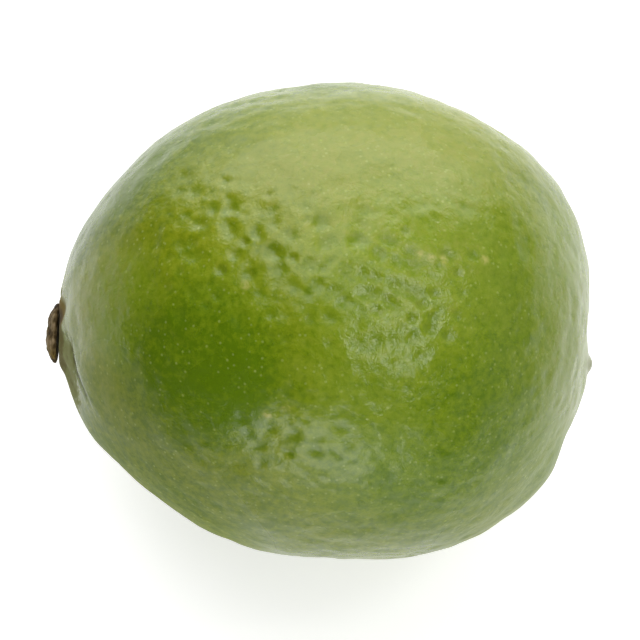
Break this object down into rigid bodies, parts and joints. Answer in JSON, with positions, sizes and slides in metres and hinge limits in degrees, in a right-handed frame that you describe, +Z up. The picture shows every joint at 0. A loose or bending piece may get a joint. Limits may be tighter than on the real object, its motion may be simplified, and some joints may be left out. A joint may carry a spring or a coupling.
{
  "type": "lime",
  "caption": "Whole lime on its side: dimpled green rind, blunt nipple at one end, dried stem button at the other, small flat spot to rest on.",
  "frame": {"origin": "middle of the flat spot on which the fruit rests, below the belly's widest place", "axes": "+X along the fruit from the stem button to the nipple, +Z up from the surface it rests on, +Y to the far side when the stem button is on the left"},
  "size_m": [0.0595, 0.052, 0.0516],
  "materials": {
    "rind": "waxy citrus peel, green with yellower cheeks, pale oil gland dots and shallow pores",
    "dried_calyx": "dry grey-brown woody tissue, rough, darker in its creases"
  },
  "bodies": {
    "root": {"fruit": "rind", "stem_button": "dried_calyx"}
  },
  "joints": []
}
